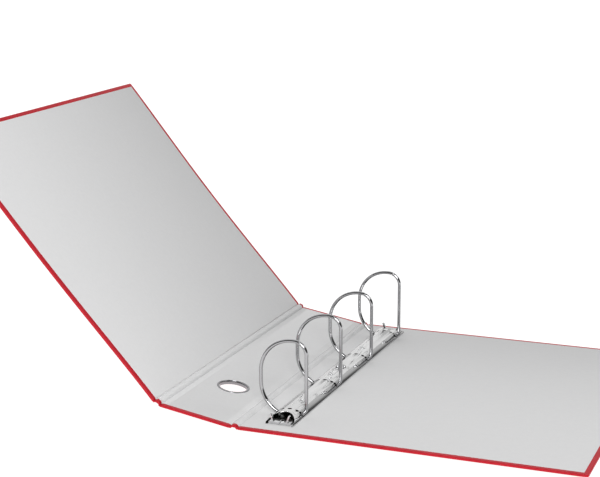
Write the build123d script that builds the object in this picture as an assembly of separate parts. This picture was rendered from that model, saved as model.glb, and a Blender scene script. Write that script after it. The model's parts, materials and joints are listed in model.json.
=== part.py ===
from build123d import *

import os
from math import atan2, cos, degrees, radians, sin, sqrt, tan

# An A4 ring binder lying open: five hinged cover panels, each a board between an outer foil and an
# inner lining, four D-rings that open in two halves, a finger hole and a label pocket on the spine.
#
# Millimetres.  X runs across the cover, Y along the spine towards the top edge, Z is up.  The origin
# is the centre of the back cover's outer face, which lies on the table.  Every panel is drawn flat
# with its inner side up and its crease at x = 0, and then placed at its resting angle.

# Cover, mm
HEIGHT = 318.0          # along the spine
COVER_WIDTH = 277.5     # crease to fore edge
SPINE_WIDTH = 61.9
STRIP_WIDTH = 6.9       # the folding strip on each side of the spine
THICKNESS = 2.2         # foil, board and lining together
SKIN = 0.2              # the foil, and the lining
MARGIN = 4.0            # turned-in foil left bare around the lining
RIDGE = 1.3             # how far a folding strip is pressed inwards
CREASE_GAP = 0.1        # clearance to the crease line at the outer face
CREASE_BEVEL = tan(radians(23.5))
RIDGE_FOOT = 0.1        # level part of a strip beside each crease
RIDGE_SLOPE = 0.8       # run over which the strip rises to its ridge

# Resting angles above the table, degrees
BACK_STRIP_ANGLE = 4.68
SPINE_ANGLE = 9.36
FRONT_STRIP_ANGLE = 29.03
FRONT_ANGLE = 48.7

# Finger hole, mm
HOLE_HEIGHT = 77.0      # centre above the bottom edge
HOLE_RADIUS = 12.0
BARREL_WALL = 0.5
FLANGE_RADIUS = 14.4
WASHER_RADIUS = 13.9
FLANGE_THICKNESS = 0.5
FLANGE_ROUND = 0.35
WASHER_ROUND = 0.3

# Label, mm
CARD_SIZE = (51.0, 148.0, 0.26)
CARD_TOP_GAP = 16.5     # card's top edge below the spine's top edge
CARD_CLEARANCE = 0.08
POCKET_BORDER = 2.0
POCKET_FILM = 0.18
POCKET_SIDE_PLAY = 0.5

# Ring mechanism, mm
RAIL_OFFSET = 29.2      # centre of the rail from the back crease
RAIL_LENGTH = 286.0
RAIL_HALF_WIDTH = 12.0  # the housing is half an ellipse, this wide
RAIL_RISE = 6.9         # and this high above the lining
RAIL_WALL = 1.5
END_CUT = 15.5          # how far the crest is cut back at each end
LIP_REACH = 1.2
LIP_THICKNESS = 0.8
LIP_INSET = 0.3
RING_PITCH = 80.0
RING_COUNT = 4
WIRE_RADIUS = 1.5
PIVOT_OFFSET = 8.6      # blade's outer edge from the rail's centre
PIVOT_HEIGHT = 4.05
BLADE_WIDTH = 8.35
BLADE_THICKNESS = 1.8
BLADE_DROP = 4.0        # degrees below level while the rings are shut
BLADE_END_GAP = 1.0     # blade's end short of the housing's end
TRIM_GAP = 0.3          # wire left standing below its blade
TAB_ANGLE = 64.0        # thumb tabs at the blades' ends, turned up and outwards
TAB_OFFSET = 3.2        # from the blade's outer edge
TAB_REACH = 7.0
TAB_LENGTH = 2.6
TAB_THICKNESS = 1.2
SLOT_PLAY = 1.0         # housing slot wider than the wire
SLOT_STRETCH = 1.6
DASH = (3.2, 2.2)       # three pressed openings across the housing at each ring
DASH_OFFSET = 6.4

# D-ring centre line: heights above the table, distances from the rail's centre, mm
RING_LEFT = 25.0
RING_RIGHT = 14.2
RING_TOP = 65.6
ARCH_RADIUS = 27.0
LOWER_TANGENT = 29.5    # where the lower left arc starts
CORNER_RADIUS = 11.0
FOOT_RADIUS = 4.0
FOOT_SLOPE = 45.0       # of the right half where it crosses the housing, degrees
ENTRY_OFFSET = 10.6     # where the wire crosses the housing
ENTRY_HEIGHT = 5.43
JOINT_ANGLE = 22.0      # place of the tip joint round the corner, degrees from the top
JOINT_OVERLAP = 15.0    # degrees of wire drawn past the joint and cut off there
JOINT_SLANT = 30.0
JOINT_GAP = 0.2

# Fastenings, mm
RIVET_HEAD = (5.0, 0.8)
RIVET_SHANK = 2.5
RIVET_CROWN = (4.4, 0.9)    # radius, height above the housing
RIVET_CROWN_ROUND = 0.5
RIVET_CROWN_BASE = 0.7      # sunk below the housing's crest
STUD_OFFSET = 66.0      # hidden studs either side of the middle
BLADE_NOTCH = 3.3

RAIL_X = RAIL_OFFSET - COVER_WIDTH / 2
RAIL_CREST = THICKNESS + RAIL_RISE
THROUGH = 20.0          # longer than any hole is deep


# ---- panels -------------------------------------------------------------------------------------

def panel_plane(crease, angle):
    """The frame of a panel left of the crease: x back towards the crease, z out of the inner side."""
    slope = radians(angle)
    return Plane(
        origin=(crease[0], 0, crease[1]),
        x_dir=(cos(slope), 0, -sin(slope)),
        z_dir=(sin(slope), 0, cos(slope)),
    )


def next_crease(crease, angle, width):
    slope = radians(angle)
    return crease[0] - width * cos(slope), crease[1] + width * sin(slope)


def creased_edge(height):
    """Distance of a bevelled edge from its crease, at a height above the outer face."""
    return CREASE_GAP + CREASE_BEVEL * height


def cover_line(height, inset):
    return [(creased_edge(height), height), (COVER_WIDTH - inset, height)]


def spine_line(height, inset):
    edge = creased_edge(height)
    return [(edge, height), (SPINE_WIDTH - edge, height)]


def strip_line(height, inset):
    """A folding strip: level at both creases, raised between them."""
    edge = creased_edge(height)
    foot = creased_edge(THICKNESS) + RIDGE_FOOT
    shoulder = foot + RIDGE_SLOPE
    half = [(edge, height), (foot, height), (shoulder, height + RIDGE)]
    return half + [(STRIP_WIDTH - x, z) for x, z in reversed(half)]


def layer(line, low, high, inset, side):
    """One layer of a panel between two heights, inset from its free edges."""
    outline = line(low, inset) + list(reversed(line(high, inset)))
    length = HEIGHT - 2 * inset
    points = [(side * x, -length / 2, z) for x, z in outline]
    return extrude(make_face(Polyline(*points, close=True)), amount=length, dir=(0, 1, 0))


def panel(line, side, plane, hole=None):
    """Board, foil and lining of one panel; the foil wraps the free edges and shows as a margin."""
    whole = layer(line, 0, THICKNESS, 0, side)
    board = layer(line, SKIN, THICKNESS - SKIN, SKIN, side)
    lining = layer(line, THICKNESS - SKIN, THICKNESS, MARGIN, side)
    foil = whole - board - lining
    pieces = [board, foil, lining]
    if hole:
        pieces = [piece - hole for piece in pieces]
    return [plane.location * piece for piece in pieces]


def export_panel(name, pieces):
    for suffix, piece in zip(("board", "foil", "lining"), pieces):
        save(piece, f"{name}_{suffix}")


# ---- spine fittings -----------------------------------------------------------------------------

def disc(radius, low, high, centre=(0, 0)):
    """An upright cylinder between two heights."""
    return Pos(centre[0], centre[1], low) * Cylinder(
        radius, high - low, align=(Align.CENTER, Align.CENTER, Align.MIN)
    )


def finger_hole_fittings():
    """A flanged barrel from the outside, held by a ring pressed on inside."""
    inner_end = THICKNESS + FLANGE_THICKNESS
    flange = disc(FLANGE_RADIUS, -FLANGE_THICKNESS, 0)
    flange = fillet(flange.edges().sort_by(Axis.Z)[0], FLANGE_ROUND)
    barrel = disc(HOLE_RADIUS + BARREL_WALL, -FLANGE_THICKNESS, inner_end)
    bore = disc(HOLE_RADIUS, -FLANGE_THICKNESS - 1, inner_end + 1)
    washer = disc(WASHER_RADIUS, THICKNESS, inner_end)
    washer = fillet(washer.edges().sort_by(Axis.Z)[-1], WASHER_ROUND)
    return flange + barrel - bore, washer - disc(HOLE_RADIUS + BARREL_WALL, 0, inner_end + 1)


def label_fittings():
    """A clear pocket under the spine's outer face, open at the top, and the card inside it."""
    width, length, thickness = CARD_SIZE
    space = thickness + 2 * CARD_CLEARANCE
    top = HEIGHT / 2 - CARD_TOP_GAP
    corner = (Align.CENTER, Align.MAX, Align.MAX)
    outer = (width + 2 * POCKET_BORDER, length + POCKET_BORDER)
    pocket = Pos(0, top, 0) * Box(*outer, space + POCKET_FILM, align=corner)
    play = POCKET_SIDE_PLAY
    inside = Pos(0, top + 1, 0) * Box(width + 2 * play, length + play + 1, space, align=corner)
    card = Pos(0, top, -CARD_CLEARANCE) * Box(*CARD_SIZE, align=corner)
    return pocket - inside, card


# ---- ring mechanism -----------------------------------------------------------------------------

def rail_point(offset, height):
    return RAIL_X + offset, 0, height


def wire_slope():
    """Slope of the lower left arc where it crosses the housing."""
    run = RING_LEFT - ENTRY_OFFSET
    rise = LOWER_TANGENT - ENTRY_HEIGHT
    radius = (run**2 + rise**2) / (2 * run)
    return atan2(radius - run, rise)


def inner_end(side, slope):
    """End of the wire below the blade, straight on from where it crosses the housing."""
    drop = ENTRY_HEIGHT - THICKNESS
    return rail_point(side * (ENTRY_OFFSET - drop / tan(slope)), THICKNESS)


def corner_point(angle):
    turn = radians(angle)
    centre = (RING_RIGHT - CORNER_RADIUS, RING_TOP - CORNER_RADIUS)
    return rail_point(centre[0] + CORNER_RADIUS * sin(turn), centre[1] + CORNER_RADIUS * cos(turn))


def left_path():
    """Blade to tip: straight, lower arc, short upright, quarter circle, level run, into the corner."""
    low = rail_point(-RING_LEFT, LOWER_TANGENT)
    high = rail_point(-RING_LEFT, RING_TOP - ARCH_RADIUS)
    crest = rail_point(ARCH_RADIUS - RING_LEFT, RING_TOP)
    bend = corner_point(0)
    entry = Line(inner_end(-1, wire_slope()), rail_point(-ENTRY_OFFSET, ENTRY_HEIGHT))
    lower = TangentArc(entry @ 1, low, tangent=entry % 1)
    upright = Line(low, high)
    upper = TangentArc(high, crest, tangent=(0, 0, 1))
    level = Line(crest, bend)
    tip = TangentArc(bend, corner_point(JOINT_ANGLE + JOINT_OVERLAP), tangent=(1, 0, 0))
    return Wire([entry, lower, upright, upper, level, tip])


def right_path():
    """Blade to tip: straight, bend, upright leg, into the corner."""
    slope = radians(FOOT_SLOPE)
    entry_end = rail_point(ENTRY_OFFSET, ENTRY_HEIGHT)
    meeting = ENTRY_HEIGHT + (RING_RIGHT - ENTRY_OFFSET) * tan(slope)
    reach = FOOT_RADIUS * tan((radians(90) - slope) / 2)
    foot = rail_point(RING_RIGHT - reach * cos(slope), meeting - reach * sin(slope))
    leg_start = rail_point(RING_RIGHT, meeting + reach)
    entry = Line(inner_end(1, slope), entry_end)
    lead = Line(entry_end, foot)
    bend = TangentArc(foot, leg_start, tangent=lead % 1)
    leg = Line(leg_start, corner_point(90))
    tip = TangentArc(corner_point(90), corner_point(JOINT_ANGLE - JOINT_OVERLAP), tangent=(0, 0, 1))
    return Wire([entry, lead, bend, leg, tip])


def wire_along(path):
    start = Plane(origin=path @ 0, z_dir=path % 0)
    return sweep(start * Circle(WIRE_RADIUS), path=path)


def joint_cutter(side):
    """A block that ends at the slanted tip joint, over the other half's share of the corner."""
    size = 6 * WIRE_RADIUS
    tilt = radians(JOINT_ANGLE + JOINT_SLANT)
    normal = (-cos(tilt), 0, sin(tilt))
    plane = Plane(origin=corner_point(JOINT_ANGLE), z_dir=normal)
    block = Box(size, size, size / 2, align=(Align.CENTER, Align.CENTER, Align.MIN))
    if side < 0:
        block = Rot(180, 0, 0) * block
    return plane.location * Pos(0, 0, -side * JOINT_GAP / 2) * block


def below_blade(side):
    """A block under the blade's lower face, which trims the wire's end."""
    size = (2 * BLADE_WIDTH, THROUGH, THROUGH)
    block = Box(*size, align=(Align.CENTER, Align.CENTER, Align.MAX))
    level = -BLADE_THICKNESS / 2 - TRIM_GAP
    pivot = rail_point(side * PIVOT_OFFSET, PIVOT_HEIGHT)
    return Pos(*pivot) * Rot(0, -side * BLADE_DROP, 0) * Pos(0, 0, level) * block


def ring_half(side):
    path = left_path() if side < 0 else right_path()
    return wire_along(path) - joint_cutter(side) - below_blade(side)


def thumb_tab(end):
    """The turned-up end of a blade, in the frame of its outer edge."""
    tab = Box(TAB_REACH, TAB_LENGTH, TAB_THICKNESS, align=(Align.MIN, Align.CENTER, Align.CENTER))
    place = RAIL_LENGTH / 2 - BLADE_END_GAP - TAB_LENGTH / 2
    return Pos(TAB_OFFSET, end * place, 0) * Rot(0, TAB_ANGLE - 180, 0) * tab


def blade(side, rings, posts):
    """A flat strip with a rounded outer edge, holed for its ring halves, cut back for the posts."""
    length = RAIL_LENGTH - 2 * BLADE_END_GAP
    strip = Box(BLADE_WIDTH, length, BLADE_THICKNESS, align=(Align.MIN, Align.CENTER, Align.CENTER))
    edge = Rot(90, 0, 0) * Cylinder(BLADE_THICKNESS / 2, length)
    shape = Rot(0, BLADE_DROP, 0) * (strip + edge + thumb_tab(-1) + thumb_tab(1))
    if side > 0:
        shape = mirror(shape, about=Plane.YZ)
    shape = Pos(*rail_point(side * PIVOT_OFFSET, PIVOT_HEIGHT)) * shape
    for cutter in rings + posts:
        shape -= cutter
    return shape


def on_housing(offset, station):
    """A place on the housing's outer face, with z straight out of it."""
    share = offset / RAIL_HALF_WIDTH
    height = RAIL_RISE * sqrt(1 - share**2)
    lean = degrees(atan2(share / RAIL_HALF_WIDTH, height / RAIL_RISE**2))
    return Pos(offset, station, height) * Rot(0, lean, 0)


def station_holes(station):
    """The ring's two slots in the shoulders, and a dash on the crest and on each side of it."""
    width = 2 * WIRE_RADIUS + SLOT_PLAY
    slot = extrude(SlotOverall(width + SLOT_STRETCH, width), amount=2 * RAIL_WALL, both=True)
    dash = extrude(SlotOverall(*DASH), amount=2 * RAIL_WALL, both=True)
    holes = [on_housing(0, station) * dash]
    for side in (-1, 1):
        holes.append(on_housing(side * ENTRY_OFFSET, station) * slot)
        holes.append(on_housing(side * DASH_OFFSET, station) * dash)
    return holes


def housing(stations):
    """An arched sheet with its lower edges turned in under the blades and its ends scooped out."""
    inner = Ellipse(RAIL_HALF_WIDTH - RAIL_WALL, RAIL_RISE - RAIL_WALL)
    section = Plane.XZ * (Ellipse(RAIL_HALF_WIDTH, RAIL_RISE) - inner)
    arch = extrude(section, amount=RAIL_LENGTH / 2, both=True)
    upright = (Align.CENTER, Align.CENTER, Align.MIN)
    arch &= Box(3 * RAIL_HALF_WIDTH, RAIL_LENGTH, THROUGH, align=upright)
    for side in (-1, 1):
        middle = side * (RAIL_HALF_WIDTH - LIP_INSET - LIP_REACH / 2)
        arch += Pos(middle, 0, 0) * Box(LIP_REACH, RAIL_LENGTH, LIP_THICKNESS, align=upright)
    for station in stations:
        for cutter in station_holes(station):
            arch -= cutter
    scoop = extrude(Ellipse(RAIL_HALF_WIDTH - RAIL_WALL / 2, END_CUT), amount=THROUGH)
    for end in (-1, 1):
        arch -= Pos(0, end * RAIL_LENGTH / 2, 0) * scoop
    arch -= disc(RIVET_SHANK, 0, THROUGH)
    return Pos(RAIL_X, 0, THICKNESS) * arch


def rivet(rail):
    """Flush head outside, shank through the cover, crown on the housing."""
    radius, height = RIVET_CROWN
    shape = disc(RIVET_HEAD[0], 0, RIVET_HEAD[1]) + disc(RIVET_SHANK, 0, RAIL_CREST + height)
    crown = disc(radius, RAIL_CREST - RIVET_CROWN_BASE, RAIL_CREST + height)
    crown = fillet(crown.edges().sort_by(Axis.Z)[-1], RIVET_CROWN_ROUND)
    return Pos(RAIL_X, 0, 0) * (shape + crown) - rail


def stud(station, rail):
    """The same head and shank, ending against the underside of the housing."""
    shape = disc(RIVET_HEAD[0], 0, RIVET_HEAD[1]) + disc(RIVET_SHANK, 0, RAIL_CREST - RAIL_WALL)
    return Pos(RAIL_X, station, 0) * shape - rail


# ---- build --------------------------------------------------------------------------------------

def save(shape, name):
    solids = shape.solids()
    shape = solids[0] if len(solids) == 1 else Compound(solids)
    export_step(shape, f"parts/{name}.step")


os.makedirs("parts", exist_ok=True)

back_crease = (-COVER_WIDTH / 2, 0.0)
spine_back_crease = next_crease(back_crease, BACK_STRIP_ANGLE, STRIP_WIDTH)
spine_front_crease = next_crease(spine_back_crease, SPINE_ANGLE, SPINE_WIDTH)
front_crease = next_crease(spine_front_crease, FRONT_STRIP_ANGLE, STRIP_WIDTH)

stations = [RING_PITCH * (index - (RING_COUNT - 1) / 2) for index in range(RING_COUNT)]
rail = housing(stations)
fastenings = {"rivet_middle": rivet(rail)}
fastenings["stud_bottom"] = stud(-STUD_OFFSET, rail)
fastenings["stud_top"] = stud(STUD_OFFSET, rail)

back_pieces = panel(cover_line, 1, Plane(origin=(back_crease[0], 0, 0)))
for fastening in fastenings.values():
    back_pieces = [piece - fastening for piece in back_pieces]
export_panel("back_cover", back_pieces)

back_strip_plane = panel_plane(back_crease, BACK_STRIP_ANGLE)
export_panel("back_strip", panel(strip_line, -1, back_strip_plane))

spine_plane = panel_plane(spine_back_crease, SPINE_ANGLE)
hole_place = Pos(-SPINE_WIDTH / 2, HOLE_HEIGHT - HEIGHT / 2, 0)
hole_cutter = hole_place * disc(HOLE_RADIUS + BARREL_WALL, -1, THICKNESS + 1)
export_panel("spine", panel(spine_line, -1, spine_plane, hole_cutter))

front_strip_plane = panel_plane(spine_front_crease, FRONT_STRIP_ANGLE)
export_panel("front_strip", panel(strip_line, -1, front_strip_plane))

front_plane = panel_plane(front_crease, FRONT_ANGLE)
export_panel("front_cover", panel(cover_line, -1, front_plane))

barrel, washer = [spine_plane.location * hole_place * piece for piece in finger_hole_fittings()]
save(barrel, "finger_hole_barrel")
save(washer, "finger_hole_washer")

label_place = spine_plane.location * Pos(-SPINE_WIDTH / 2, 0, 0)
pocket, card = [label_place * piece for piece in label_fittings()]
save(pocket, "label_pocket")
save(card, "label_card")

save(rail, "ring_housing")
for name, fastening in fastenings.items():
    save(fastening, name)

posts = [Pos(RAIL_X, y, 0) * disc(BLADE_NOTCH, 0, THROUGH) for y in (-STUD_OFFSET, 0, STUD_OFFSET)]
for side, word in ((-1, "left"), (1, "right")):
    half = ring_half(side)
    halves = [Pos(0, station, 0) * half for station in stations]
    for number, ring in enumerate(halves, start=1):
        save(ring, f"ring_{word}_{number}")
    save(blade(side, halves, posts), f"blade_{word}")
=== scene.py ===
import json
import math

import bmesh
import bpy
from mathutils import Matrix, Vector


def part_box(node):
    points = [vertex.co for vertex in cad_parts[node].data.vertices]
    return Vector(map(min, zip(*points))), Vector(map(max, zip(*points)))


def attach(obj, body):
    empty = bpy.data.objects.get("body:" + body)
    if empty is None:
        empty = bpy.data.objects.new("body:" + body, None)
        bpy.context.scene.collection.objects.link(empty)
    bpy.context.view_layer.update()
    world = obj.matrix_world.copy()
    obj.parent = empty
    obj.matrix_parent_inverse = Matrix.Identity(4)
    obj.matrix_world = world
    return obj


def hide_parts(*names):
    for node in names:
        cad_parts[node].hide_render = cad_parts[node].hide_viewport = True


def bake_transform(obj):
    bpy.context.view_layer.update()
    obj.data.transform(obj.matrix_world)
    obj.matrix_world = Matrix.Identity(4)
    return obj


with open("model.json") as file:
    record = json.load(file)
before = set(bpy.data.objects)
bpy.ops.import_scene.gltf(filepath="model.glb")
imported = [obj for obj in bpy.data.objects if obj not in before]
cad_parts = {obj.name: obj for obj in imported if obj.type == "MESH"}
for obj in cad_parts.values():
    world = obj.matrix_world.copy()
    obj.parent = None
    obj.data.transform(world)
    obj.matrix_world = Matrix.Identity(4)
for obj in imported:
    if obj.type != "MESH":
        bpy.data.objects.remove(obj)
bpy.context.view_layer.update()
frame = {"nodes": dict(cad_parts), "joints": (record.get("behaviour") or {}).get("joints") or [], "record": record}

MM = 0.001
nodes = frame["nodes"]
joint_at = {joint["name"]: Vector(joint["pos_m"]) for joint in frame["joints"] if "pos_m" in joint}


# ---- sizes read from the frame ----------------------------------------------------------------

back_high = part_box("back_cover_foil")[1]
front_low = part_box("front_cover_foil")[0]
lining_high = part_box("back_cover_lining")[1]

crease_points = [
    joint_at[name] for name in ("back_crease", "spine_back_crease", "spine_front_crease", "front_crease")
]
COVER = back_high.x - crease_points[0].x
HALF = back_high.y
THICK = lining_high.z
MARGIN = back_high.y - lining_high.y


def slope(start, end):
    return math.atan2(end.z - start.z, start.x - end.x)


strip_width = (crease_points[1] - crease_points[0]).length
spine_width = (crease_points[2] - crease_points[1]).length
panel_slopes = [0.0] + [slope(a, b) for a, b in zip(crease_points, crease_points[1:])]
panel_slopes.append(math.acos((crease_points[3].x - front_low.x) / COVER))
turns = [b - a for a, b in zip(panel_slopes, panel_slopes[1:])]

# Distances along the cover from the back crease, towards the front fore edge.
crease_at = [0.0, strip_width, strip_width + spine_width, 2 * strip_width + spine_width]
back_edge = -COVER
front_edge = crease_at[3] + COVER

rail_low, rail_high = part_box("ring_housing")
rail_x = (rail_low.x + rail_high.x) / 2
rail_half = (rail_high.x - rail_low.x) / 2
rail_rise = rail_high.z - rail_low.z
rail_end = rail_high.y
ring_boxes = [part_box(f"ring_left_{number}") for number in (1, 2, 3, 4)]
ring_stations = [(low.y + high.y) / 2 for low, high in ring_boxes]

BEND = 1.2 * MM         # half width of a fold
RIDGE = 1.3 * MM        # how far a folding strip stands in
SCORE_IN = 0.55 * MM    # depth of the pressed line on the inside of a crease
SCORE_OUT = 0.3 * MM
EDGE_ROUND = 0.75 * MM
CORNER_ROUND = 2.0 * MM
SEAM = 6.0 * MM         # where a fold piece meets its panel
BOW = 2.0 * MM          # the front cover's outward bow at its middle
TWIST = 2.8 * MM        # inward at its top corner, outward at its bottom corner
WARP_STEP = 7.0 * MM
FLOOR = -3.2 * MM       # under the table face: opened flat, the bowed front cover dips below that face

SHEET = 0.6 * MM        # the housing's steel
LIP = 1.6 * MM          # its turned-in lower edge
SCOOP = 15.5 * MM       # how far each scooped end reaches in
CREST_DASH = (3.6 * MM, 2.4 * MM)
SIDE_DASH = (3.2 * MM, 2.9 * MM)
SIDE_DASH_AT = 6.3 * MM
RING_SLOT = (5.4 * MM, 4.3 * MM)
RING_SLOT_AT = 10.3 * MM
CUT_BELOW = 1.5 * MM    # how far a slot's cutter reaches into the housing
CUT_TOP = 12 * MM       # higher than anything on the housing


# ---- small helpers ----------------------------------------------------------------------------

def smooth(value):
    value = min(max(value, 0.0), 1.0)
    return value * value * (3 - 2 * value)


def fold(along, y, height):
    """A point of the flat cover, folded to the resting pose."""
    x, z = -along, height
    for place, turn in reversed(list(zip(crease_at, turns))):
        angle = turn * smooth((along - place + BEND) / (2 * BEND))
        dx = x + place
        x, z = (
            dx * math.cos(angle) + z * math.sin(angle) - place,
            -dx * math.sin(angle) + z * math.cos(angle),
        )
    return Vector((x + crease_points[0].x, y, z))


def mesh_object(name, verts, faces, smooth_angle=40):
    mesh = bpy.data.meshes.new(name)
    mesh.from_pydata([tuple(v) for v in verts], [], faces)
    piece = bpy.data.objects.new(name, mesh)
    bpy.context.scene.collection.objects.link(piece)
    tidy(piece, smooth_angle)
    return piece


def tidy(piece, smooth_angle=40):
    """Outward normals, and smooth shading that breaks at sharp edges."""
    mesh = piece.data
    bm = bmesh.new()
    bm.from_mesh(mesh)
    bmesh.ops.recalc_face_normals(bm, faces=bm.faces)
    if bm.calc_volume(signed=True) < 0:
        bmesh.ops.reverse_faces(bm, faces=bm.faces)
    limit = math.radians(smooth_angle)
    for face in bm.faces:
        face.smooth = True
    for edge in bm.edges:
        edge.smooth = len(edge.link_faces) == 2 and edge.calc_face_angle(0) < limit
    bm.to_mesh(mesh)
    bm.free()


def loft(rings, closed=False):
    """Vertices and faces that join rings of equal length; the ends are capped unless it closes."""
    count = len(rings[0])
    verts = [point for ring in rings for point in ring]
    faces = []
    pairs = len(rings) if closed else len(rings) - 1
    for row in range(pairs):
        first = row * count
        second = (row + 1) % len(rings) * count
        for i in range(count):
            j = (i + 1) % count
            faces.append((first + i, first + j, second + j, second + i))
    if not closed:
        faces.append(tuple(range(count)))
        faces.append(tuple((len(rings) - 1) * count + i for i in reversed(range(count))))
    return verts, faces


def lathe(name, profile, place, segments=96):
    """A closed outline of (radius, height) turned about the local Z of a placing matrix."""
    rings = []
    for step in range(segments):
        turn = 2 * math.pi * step / segments
        c, s = math.cos(turn), math.sin(turn)
        rings.append([place @ Vector((r * c, r * s, h)) for r, h in profile])
    verts, faces = loft(rings, closed=True)
    return mesh_object(name, verts, faces)


def arc(centre, radius, start, end, steps):
    """Points of an arc in a plane; angles in degrees."""
    points = []
    for step in range(steps + 1):
        angle = math.radians(start + (end - start) * step / steps)
        points.append((centre[0] + radius * math.cos(angle), centre[1] + radius * math.sin(angle)))
    return points


def circle(place, radius, height, count=48):
    turns = (2 * math.pi * i / count for i in range(count))
    return [place @ Vector((radius * math.cos(t), radius * math.sin(t), height)) for t in turns]


# ---- materials --------------------------------------------------------------------------------

def new_material(name):
    material = bpy.data.materials.new(name)
    material.use_nodes = True
    tree = material.node_tree
    return material, tree, tree.nodes["Principled BSDF"]


def add(tree, kind, **settings):
    node = tree.nodes.new(kind)
    for key, value in settings.items():
        if key in node.inputs:
            node.inputs[key].default_value = value
        else:
            setattr(node, key, value)
    return node


def noise(tree, scale, detail=4.0, roughness=0.5):
    where = add(tree, "ShaderNodeTexCoord")
    texture = add(tree, "ShaderNodeTexNoise", Scale=scale, Detail=detail, Roughness=roughness)
    tree.links.new(where.outputs["Object"], texture.inputs["Vector"])
    return texture.outputs["Fac"]


def remap(tree, value, low, high):
    node = add(tree, "ShaderNodeMapRange")
    node.inputs["To Min"].default_value = low
    node.inputs["To Max"].default_value = high
    tree.links.new(value, node.inputs["Value"])
    return node.outputs["Result"]


def tint(tree, value, dark, light):
    ramp = add(tree, "ShaderNodeValToRGB")
    ramp.color_ramp.elements[0].position = 0.3
    ramp.color_ramp.elements[0].color = (*dark, 1)
    ramp.color_ramp.elements[1].position = 0.7
    ramp.color_ramp.elements[1].color = (*light, 1)
    tree.links.new(value, ramp.inputs["Fac"])
    return ramp.outputs["Color"]


def bump(tree, shader, value, distance, strength=1.0):
    node = add(tree, "ShaderNodeBump", Strength=strength, Distance=distance)
    tree.links.new(value, node.inputs["Height"])
    tree.links.new(node.outputs["Normal"], shader.inputs["Normal"])


def foil_material():
    """Red polypropylene foil with a fine embossed grain."""
    material, tree, shader = new_material("red_foil")
    colour = tint(tree, noise(tree, 45, 3), (0.52, 0.009, 0.020), (0.57, 0.012, 0.026))
    tree.links.new(colour, shader.inputs["Base Color"])
    grain = noise(tree, 1500, 3, 0.6)
    tree.links.new(remap(tree, grain, 0.36, 0.52), shader.inputs["Roughness"])
    shader.inputs["Specular IOR Level"].default_value = 0.22
    bump(tree, shader, grain, 0.06 * MM, 0.7)
    return material


def lining_material():
    """Light grey paper, slightly fibrous, with painted shade along each crease."""
    material, tree, shader = new_material("grey_paper")
    colour = tint(tree, noise(tree, 260, 6, 0.65), (0.785, 0.785, 0.788), (0.805, 0.805, 0.807))
    # Painted shade: the paper is darkened by up to a fifth along each crease, where shade gathers.
    crease_shade = add(tree, "ShaderNodeAttribute", attribute_name="crease_shade")
    line = tint(tree, crease_shade.outputs["Fac"], (1.0, 1.0, 1.0), (0.80, 0.80, 0.80))
    darken = add(tree, "ShaderNodeVectorMath", operation="MULTIPLY")
    tree.links.new(colour, darken.inputs[0])
    tree.links.new(line, darken.inputs[1])
    tree.links.new(darken.outputs["Vector"], shader.inputs["Base Color"])
    shader.inputs["Roughness"].default_value = 0.82
    shader.inputs["Specular IOR Level"].default_value = 0.25
    bump(tree, shader, noise(tree, 900, 5, 0.6), 0.04 * MM, 0.5)
    return material


def metal_material(name, colour, low, high, scale=220, dent=0.0):
    """Plated steel; the roughness wanders a little between low and high."""
    material, tree, shader = new_material(name)
    shader.inputs["Metallic"].default_value = 1.0
    shader.inputs["Base Color"].default_value = (*colour, 1)
    tree.links.new(remap(tree, noise(tree, scale, 4), low, high), shader.inputs["Roughness"])
    if dent:
        bump(tree, shader, noise(tree, 700, 3), dent, 0.5)
    return material


def painted_shade_steel(name, dark, light):
    """Near-black metal: painted shade for faces that lie in shadow."""
    material, tree, shader = new_material(name)
    shader.inputs["Metallic"].default_value = 1.0
    shader.inputs["Roughness"].default_value = 0.45
    colour = tint(tree, noise(tree, 300, 4), (dark, dark, dark), (light, light, light))
    tree.links.new(colour, shader.inputs["Base Color"])
    return material


def blade_material():
    """Steel with painted shade: dark inside the housing and light near its ends, where the thumb tabs are."""
    material, tree, shader = new_material("blade_steel")
    where = add(tree, "ShaderNodeTexCoord")
    parts = add(tree, "ShaderNodeSeparateXYZ")
    reach = add(tree, "ShaderNodeMath", operation="ABSOLUTE")
    share = add(tree, "ShaderNodeMapRange")
    share.inputs["From Min"].default_value = rail_end - 5.0 * MM
    share.inputs["From Max"].default_value = rail_end - 3.5 * MM
    tree.links.new(where.outputs["Object"], parts.inputs["Vector"])
    tree.links.new(parts.outputs["Y"], reach.inputs[0])
    tree.links.new(reach.outputs["Value"], share.inputs["Value"])
    # Painted shade: darker inside the housing, the steel's own light grey near the housing's ends.
    colour = tint(tree, share.outputs["Result"], (0.13, 0.13, 0.13), (0.70, 0.70, 0.71))
    tree.links.new(colour, shader.inputs["Base Color"])
    shader.inputs["Metallic"].default_value = 1.0
    tree.links.new(remap(tree, noise(tree, 300, 4), 0.15, 0.30), shader.inputs["Roughness"])
    return material


def film_material():
    """Clear polypropylene film."""
    material, tree, shader = new_material("clear_film")
    shader.inputs["Base Color"].default_value = (0.96, 0.97, 0.98, 1)
    shader.inputs["Alpha"].default_value = 0.12
    shader.inputs["Roughness"].default_value = 0.18
    bump(tree, shader, noise(tree, 60, 2), 0.05 * MM, 0.4)
    return material


def card_material():
    material, tree, shader = new_material("white_card")
    colour = tint(tree, noise(tree, 400, 5), (0.80, 0.80, 0.80), (0.84, 0.84, 0.835))
    tree.links.new(colour, shader.inputs["Base Color"])
    shader.inputs["Roughness"].default_value = 0.7
    bump(tree, shader, noise(tree, 1200, 4), 0.02 * MM, 0.4)
    return material


foil = foil_material()
paper = lining_material()
film = film_material()
card = card_material()
ring_chrome = metal_material("ring_chrome", (0.42, 0.42, 0.43), 0.04, 0.08)
rail_nickel = metal_material("rail_nickel", (0.66, 0.66, 0.66), 0.10, 0.16, 160, 0.004 * MM)
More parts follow.
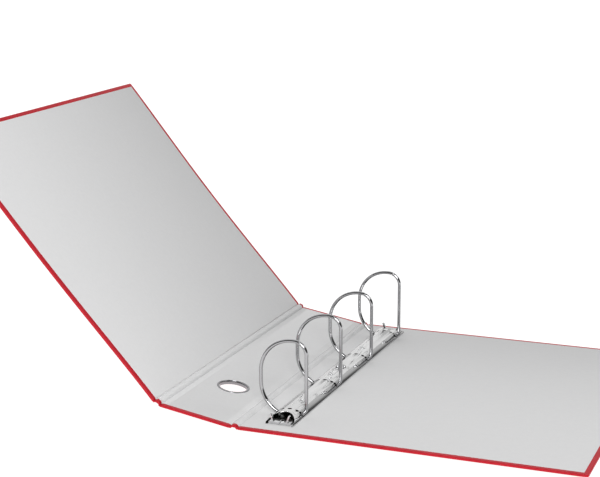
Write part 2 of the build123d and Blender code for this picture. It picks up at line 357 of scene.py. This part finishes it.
# Painted shade: the inside of the housing gets near-black metal, where shade falls.
rail_painted_shade = painted_shade_steel("rail_painted_shade", 0.02, 0.03)
blade_steel = blade_material()
eyelet_nickel = metal_material("eyelet_nickel", (0.30, 0.30, 0.31), 0.12, 0.20)
rivet_nickel = metal_material("rivet_nickel", (0.50, 0.50, 0.51), 0.10, 0.18)


def dress(piece, material):
    piece.data.materials.clear()
    piece.data.materials.append(material)


# ---- cover ------------------------------------------------------------------------------------

def ridge(along):
    """How far the cover stands inwards at a place: the folding strips are formed by pressing into low ridges."""
    height = 0.0
    for start in (crease_at[0], crease_at[2]):
        inside = min(along - start, start + strip_width - along)
        height += RIDGE * smooth((inside - 0.6 * MM) / (1.7 * MM))
    return height


def score(along, depth, reach=1.0 * MM):
    """Depth at a place of the line made by pressing along each crease."""
    nearest = min(abs(along - place) for place in crease_at)
    return max(depth * (1 - nearest / reach), 0)


def outer_height(along):
    return ridge(along) + score(along, SCORE_OUT)


def inner_height(along):
    return THICK + ridge(along) - score(along, SCORE_IN)


def warp(along, y):
    """How far the front cover bows outwards and twists: the board is not quite flat."""
    share = max((along - crease_at[3] - SEAM) / (front_edge - crease_at[3] - SEAM), 0)
    return TWIST * share**1.5 * y / HALF - BOW * 16 * (share * (1 - share)) ** 2


def wrap_section(along, trim=0.0):
    """The rounded outline of the foil-wrapped board across the cover at one place."""
    low = outer_height(along) + trim
    high = inner_height(along) - trim
    end = HALF - corner_inset(along)
    r = min(EDGE_ROUND, (high - low) * 0.45)
    outline = arc((-end + r, low + r), r, 270, 180, 4) + arc((-end + r, high - r), r, 180, 90, 4)
    outline += arc((end - r, high - r), r, 90, 0, 4) + arc((end - r, low + r), r, 0, -90, 4)
    return [fold(along, y, t + warp(along, y)) for y, t in outline]


def corner_inset(along):
    """How far a fore edge's corner is rounded off in plan."""
    depth = CORNER_ROUND - min(along - back_edge, front_edge - along)
    if depth <= 0:
        return 0.0
    return CORNER_ROUND - math.sqrt(max(CORNER_ROUND**2 - depth**2, 0))


def edge_stations(edge, inwards):
    """Places and trims that round a fore edge, from the edge inwards."""
    stations = []
    for step in range(6):
        turn = math.pi / 2 * step / 5
        place = EDGE_ROUND * (1 - math.sin(turn))
        stations.append((edge + inwards * place, EDGE_ROUND * (1 - math.cos(turn))))
    stations.reverse()
    for step in range(1, 6):
        reach = EDGE_ROUND + (CORNER_ROUND - EDGE_ROUND) * step / 5
        stations.append((edge + inwards * reach, 0.0))
    return stations


def steps(low, high, step):
    """Even places from low to high, no further apart than a step."""
    count = math.ceil((high - low) / step)
    return [low + (high - low) * i / count for i in range(count + 1)]


def fold_stations(low, high, crease):
    """Places across a fold, close together where the cover bends and where the ridge rises."""
    fine = 0.15 * MM
    places = {low, high}
    reach = 2.4 * MM
    step = crease - reach
    while step <= crease + reach:
        if low < step < high:
            places.add(step)
        step += fine
    return sorted(places)


def wrap_piece(name, stations):
    rings = [wrap_section(along, trim) for along, trim in stations]
    verts, faces = loft(rings)
    return mesh_object(name, verts, faces, 50)


def lining_piece(name, places):
    """The paper glued over the turned-in foil: a thin sheet with an eased border."""
    rings = []
    lip = 0.06 * MM
    for along in places:
        top = inner_height(along) + 0.10 * MM
        bottom = top - 0.25 * MM
        end = HALF - MARGIN
        outline = [(-end, bottom), (-end, top - lip), (-end + lip, top)]
        outline += [(end - lip, top), (end, top - lip), (end, bottom)]
        rings.append([fold(along, y, t + warp(along, y)) for y, t in outline])
    verts, faces = loft(rings)
    piece = mesh_object(name, verts, faces, 60)
    # Painted shade along each crease: this attribute darkens the paper towards the crease line.
    crease_shade = piece.data.attributes.new("crease_shade", "FLOAT", "POINT")
    for number, along in enumerate(places):
        for i in range(len(rings[0])):
            crease_shade.data[number * len(rings[0]) + i].value = score(along, 1.0, 0.8 * MM)
    return piece


def bake(piece):
    """Applies a piece's modifiers."""
    bpy.context.view_layer.update()
    result = bpy.data.meshes.new_from_object(piece.evaluated_get(bpy.context.evaluated_depsgraph_get()))
    piece.modifiers.clear()
    piece.data = result
    tidy(piece)


def cut(piece, cutter):
    """Subtracts a closed mesh from a piece and removes the cutter."""
    tool = piece.modifiers.new("cut", "BOOLEAN")
    tool.operation = "DIFFERENCE"
    tool.solver = "EXACT"
    tool.object = cutter
    bake(piece)
    bpy.data.objects.remove(cutter)


def round_cutter(name, place, radius, low, high):
    verts, faces = loft([circle(place, radius, height, 96) for height in (low, high)])
    return mesh_object(name, verts, faces)


middle_back = strip_width / 2
middle_front = crease_at[2] + strip_width / 2

panels = {
    "back_cover": (back_edge, -SEAM),
    "spine": (crease_at[1] + SEAM, crease_at[2] - SEAM),
    "front_cover": (crease_at[3] + SEAM, front_edge),
}
folds = {
    "back_crease": (-SEAM, middle_back, 0, "back_cover", "back_strip"),
    "spine_back_crease": (middle_back, crease_at[1] + SEAM, 1, "back_strip", "spine"),
    "spine_front_crease": (crease_at[2] - SEAM, middle_front, 2, "spine", "front_strip"),
    "front_crease": (middle_front, crease_at[3] + SEAM, 3, "front_strip", "front_cover"),
}

wraps, linings = {}, {}
for name, (low, high) in panels.items():
    stations = [(low, 0.0), (high, 0.0)]
    lined = [low, high]
    if name == "back_cover":
        stations = edge_stations(back_edge, 1) + [(high, 0.0)]
        lined[0] = low + MARGIN
    if name == "front_cover":
        stations = [(place, 0.0) for place in steps(low, high - CORNER_ROUND, WARP_STEP)[:-1]]
        stations += reversed(edge_stations(front_edge, -1))
        lined = steps(low, high - MARGIN, WARP_STEP)
    wraps[name] = wrap_piece(name + "_wrap", stations)
    linings[name] = lining_piece(name + "_paper", lined)
for name, (low, high, number, *_) in folds.items():
    places = fold_stations(low, high, crease_at[number])
    wraps[name] = wrap_piece(name + "_wrap", [(place, 0.0) for place in places])
    linings[name] = lining_piece(name + "_paper", places)

# The spine's own frame: X across it towards the back cover, Z out of its inner side.
spine_slope = panel_slopes[2]
spine_frame = Matrix((
    (math.cos(spine_slope), 0, math.sin(spine_slope), crease_points[1].x),
    (0, 1, 0, 0),
    (-math.sin(spine_slope), 0, math.cos(spine_slope), crease_points[1].z),
    (0, 0, 0, 1),
))
hole_mount = next(m for m in frame["record"]["mounts"] if m["name"] == "finger_hole")
hole_radius = hole_mount["dims"]["r_mm"] * MM
hole_frame = spine_frame @ Matrix.Translation((-spine_width / 2, hole_mount["pos_m"][1], 0))
barrel_radius = hole_radius + 0.5 * MM
for piece in (wraps["spine"], linings["spine"]):
    cut(piece, round_cutter("hole_cutter", hole_frame, barrel_radius, -5 * MM, 8 * MM))

for rivet in ("stud_bottom", "rivet_middle", "stud_top"):
    low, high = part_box(rivet)
    place = Matrix.Translation(((low.x + high.x) / 2, (low.y + high.y) / 2, 0))
    recess = round_cutter("recess_cutter", place, (high.x - low.x) / 2 + 0.05 * MM, -MM, 0.8 * MM)
    cut(wraps["back_cover"], recess)

for name in wraps:
    dress(wraps[name], foil)
    dress(linings[name], paper)
for name in panels:
    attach(wraps[name], name)
    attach(linings[name], name)
    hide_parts(name + "_board", name + "_foil")
    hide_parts(name + "_lining")
for name, (*_, number, first, second) in folds.items():
    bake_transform(wraps[name])
    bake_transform(linings[name])
for crease, strip in (("back_crease", "back_strip"), ("front_crease", "front_strip")):
    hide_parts(strip + "_board", strip + "_foil")
    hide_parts(strip + "_lining")


# ---- finger hole ------------------------------------------------------------------------------

def finger_hole():
    """A rolled flange and barrel from outside, and the clinched ring inside."""
    flange_low, flange_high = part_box("finger_hole_barrel")
    flange_radius = (flange_high.y - flange_low.y) / 2
    washer_low, washer_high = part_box("finger_hole_washer")
    washer_radius = (washer_high.y - washer_low.y) / 2
    roll = 0.55 * MM
    outside = [(barrel_radius, 0), (flange_radius - 0.2 * MM, 0)]
    outside += arc((flange_radius - roll, -roll + 0.2 * MM), roll, 20, -90, 6)
    outside += arc((hole_radius + roll, -roll + 0.2 * MM), roll, -90, -180, 6)
    inside = [(hole_radius, THICK + 0.2 * MM), (hole_radius + 0.15 * MM, THICK + 0.5 * MM)]
    inside += [(barrel_radius, THICK + 0.5 * MM)]
    barrel = lathe("finger_ring_outer", outside + inside, hole_frame)
    bead = 0.42 * MM
    ring = [(barrel_radius + 0.02 * MM, THICK)]
    ring += arc((barrel_radius + bead, THICK + 0.2 * MM), bead, 180, 60, 6)
    ring += arc((washer_radius - bead, THICK + 0.05 * MM), bead, 70, 0, 5)
    ring += [(washer_radius, THICK)]
    washer = lathe("finger_ring_inner", ring, hole_frame)
    for piece, node in ((barrel, "finger_hole_barrel"), (washer, "finger_hole_washer")):
        dress(piece, eyelet_nickel)
        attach(piece, "spine")
        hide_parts(node)


finger_hole()


# ---- ring housing -----------------------------------------------------------------------------

def on_rail(offset, station):
    """A place on the housing's outer face, with Z straight out of it."""
    share = offset / rail_half
    height = rail_rise * math.sqrt(1 - share**2)
    lean = math.atan2(share / rail_half, height / rail_rise**2)
    move = Matrix.Translation((rail_x + offset, station, rail_low.z + height))
    return move @ Matrix.Rotation(lean, 4, "Y")


def slot_cutter(place, length, width):
    """Outline rings of a round-ended slot that runs across the housing."""
    reach = (length - width) / 2
    outline = arc((reach, 0), width / 2, -90, 90, 8) + arc((-reach, 0), width / 2, 90, 270, 8)
    return [[place @ Vector((x, y, h)) for x, y in outline] for h in (-CUT_BELOW, 3 * MM)]


def lofts(name, groups, smooth_angle=40):
    """One mesh of several separate lofts."""
    verts, faces = [], []
    for rings in groups:
        more_verts, more_faces = loft(rings)
        faces += [tuple(i + len(verts) for i in face) for face in more_faces]
        verts += more_verts
    return mesh_object(name, verts, faces, smooth_angle)


def housing_shell():
    """A thin arched sheet with turned-in lips, straight from end to end."""
    steps_round = 40
    outer, inner = [], []
    for step in range(steps_round + 1):
        turn = math.pi - math.pi * step / steps_round
        outer.append((rail_half * math.cos(turn), rail_rise * math.sin(turn)))
        inner.append(((rail_half - SHEET) * math.cos(turn), (rail_rise - SHEET) * math.sin(turn)))
    inner = [point for point in inner if point[1] > 1.2 * SHEET]
    section = outer + [(rail_half - LIP, 0), (rail_half - LIP, SHEET), (inner[-1][0], SHEET)]
    section += list(reversed(inner)) + [(inner[0][0], SHEET), (LIP - rail_half, SHEET), (LIP - rail_half, 0)]
    rings = []
    for y in (-rail_end, rail_end):
        rings.append([Vector((rail_x + x, y, rail_low.z + z)) for x, z in section])
    verts, faces = loft(rings)
    return mesh_object("housing_shell", verts, faces)


def housing_cutters():
    """Outlines of the dashes, the rivet's hole and the scooped ends, and of the ring slots apart."""
    dashes = [slot_cutter(on_rail(0, station), *CREST_DASH) for station in ring_stations]
    slots = []
    for station in ring_stations:
        for side in (-1, 1):
            dashes.append(slot_cutter(on_rail(side * SIDE_DASH_AT, station), *SIDE_DASH))
            slots.append(slot_cutter(on_rail(side * RING_SLOT_AT, station), *RING_SLOT))
    place = Matrix.Translation((rail_x, 0, rail_low.z))
    dashes.append([circle(place, 3.5 * MM, height) for height in (1.5 * MM, CUT_TOP)])
    for end in (-1, 1):
        oval = Matrix.Diagonal((rail_half - 0.5 * MM, SCOOP, 1, 1))
        move = Matrix.Translation((rail_x, end * rail_end, rail_low.z)) @ oval
        dashes.append([circle(move, 1.0, height, 64) for height in (1.0 * MM, CUT_TOP)])
    return dashes, slots


def bevel(piece, width):
    edge = piece.modifiers.new("edge", "BEVEL")
    edge.width = width
    edge.segments = 2
    edge.limit_method = "ANGLE"
    edge.angle_limit = math.radians(40)
    bake(piece)


def paint_inside(piece):
    """Gives the near-black painted shade material to the housing's inner faces and the walls of its openings."""
    piece.data.materials.append(rail_painted_shade)
    for face in piece.data.polygons:
        across = face.center.x - rail_x
        height = face.center.z - rail_low.z
        outwards = Vector((across / rail_half**2, 0, max(height, 0) / rail_rise**2)).normalized()
        facing = face.normal.dot(outwards)
        open_end = abs(face.center.y) > rail_end - SCOOP - 0.5 * MM
        if facing < (-0.3 if open_end else 0.3):
            face.material_index = 1


def housing():
    """The arched rail with scooped ends and its row of openings at each ring."""
    piece = housing_shell()
    dashes, slots = housing_cutters()
    cut(piece, lofts("dash_cutters", dashes))
    cut(piece, lofts("slot_cutters", slots))
    bevel(piece, 0.16 * MM)
    dress(piece, rail_nickel)
    paint_inside(piece)
    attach(piece, "back_cover")
    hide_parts("ring_housing")


housing()


def petal_rings(place, crest):
    """Outlines of one petal, which narrows about its middle towards the top."""
    middle = 2.6 * MM
    outline = arc((3.2 * MM, 0), 1.25 * MM, -110, 110, 8)
    outline += [(1.4 * MM, 0.8 * MM), (1.4 * MM, -0.8 * MM)]
    rings = []
    for height, grow in ((-0.2, 1.0), (0.5, 1.0), (0.8, 0.8)):
        rings.append([
            place @ Vector((middle + (x - middle) * grow, y * grow, crest + height * MM))
            for x, y in outline
        ])
    return rings


def middle_rivet():
    """The middle rivet: flush head, shank, and a crown of six turned-out petals."""
    low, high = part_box("rivet_middle")
    head = (high.x - low.x) / 2
    shank = 2.5 * MM
    crest = rail_high.z
    place = Matrix.Translation((rail_x, 0, 0))
    first_turn = 0.3
    groups = []
    for petal in range(6):
        turn = Matrix.Rotation(math.pi / 3 * petal + first_turn, 4, "Z")
        groups.append(petal_rings(place @ turn, crest))
    dome = ((2.2, -0.9), (2.2, 0.5), (1.9, 0.8), (1.2, 0.9), (0.6, 0.55), (0.2, 0.5))
    groups.append([circle(place, radius * MM, crest + height * MM) for radius, height in dome])
    stem = ((head - 0.2 * MM, 0), (head, 0.2 * MM), (head, 0.8 * MM), (shank, 0.8 * MM))
    stem += ((shank, crest - 0.8 * MM),)
    groups.append([circle(place, radius, height) for radius, height in stem])
    piece = lofts("middle_rivet", groups)
    dress(piece, rivet_nickel)
    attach(piece, "back_cover")
    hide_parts("rivet_middle")


middle_rivet()


# ---- carried-over CAD nodes -------------------------------------------------------------------

def repaint(name, material):
    mesh = nodes[name].data
    mesh.materials.clear()
    mesh.materials.append(material)


for name in nodes:
    if name.startswith(("ring_left", "ring_right")):
        repaint(name, ring_chrome)
    if name.startswith("blade"):
        repaint(name, blade_steel)
    if name.startswith("stud"):
        repaint(name, rivet_nickel)
repaint("label_pocket", film)
repaint("label_card", card)


# ---- stage ------------------------------------------------------------------------------------

def floor():
    size = 6.0
    corners = [(-size, -size), (size, -size), (size, size), (-size, size)]
    piece = mesh_object("floor", [(x, y, FLOOR) for x, y in corners], [(0, 1, 2, 3)])
    material, _, shader = new_material("floor_white")
    shader.inputs["Base Color"].default_value = (0.18, 0.18, 0.18, 1)
    shader.inputs["Roughness"].default_value = 0.9
    shader.inputs["Specular IOR Level"].default_value = 0.1
    shader.inputs["Emission Color"].default_value = (1, 1, 1, 1)
    shader.inputs["Emission Strength"].default_value = 1.0
    piece.data.materials.append(material)


def area_light(name, place, target, size, power):
    data = bpy.data.lights.new(name, "AREA")
    data.shape = "SQUARE"
    data.size = size
    data.energy = power
    lamp = bpy.data.objects.new(name, data)
    bpy.context.scene.collection.objects.link(lamp)
    lamp.location = place
    lamp.rotation_euler = (Vector(target) - Vector(place)).to_track_quat("-Z", "Y").to_euler()


def studio():
    """A sky, bright above and behind to the left and dark low to the front and right; two soft boxes."""
    world = bpy.data.worlds.new("studio")
    bpy.context.scene.world = world
    world.use_nodes = True
    tree = world.node_tree
    where = add(tree, "ShaderNodeTexCoord")
    aim = add(tree, "ShaderNodeVectorMath", operation="DOT_PRODUCT")
    aim.inputs[1].default_value = (-0.45, 0.55, 0.70)
    ramp = add(tree, "ShaderNodeValToRGB")
    elements = ramp.color_ramp.elements
    elements[0].position = 0.30
    elements[0].color = (0.05, 0.05, 0.05, 1)
    elements[1].position = 0.80
    elements[1].color = (1.0, 1.0, 1.0, 1)
    for place, level in ((0.45, 0.12), (0.62, 0.60)):
        elements.new(place).color = (level, level, level, 1)
    tree.links.new(where.outputs["Generated"], aim.inputs[0])
    tree.links.new(aim.outputs["Value"], ramp.inputs["Fac"])
    tree.links.new(ramp.outputs["Color"], tree.nodes["Background"].inputs["Color"])
    tree.nodes["Background"].inputs["Strength"].default_value = 0.98
    area_light("key", (2.3, -6.6, 3.3), (-0.1, 0, 0), 3.0, 370)
    area_light("side", (3.1, 1.0, 2.8), (-0.1, 0, 0), 1.2, 20)


def camera():
    """The photograph's viewpoint: from in front and to the right, looking 12.8 degrees down."""
    data = bpy.data.cameras.new("camera")
    data.lens = 92.86
    data.sensor_width = 36
    place = bpy.data.objects.new("camera", data)
    bpy.context.scene.collection.objects.link(place)
    place.location = (0.3290, -1.2156, 0.4171)
    place.rotation_euler = (math.radians(90 - 12.806), 0, math.radians(21.42))
    bpy.context.scene.camera = place


floor()
studio()
camera()
bpy.context.scene.view_settings.view_transform = "Standard"
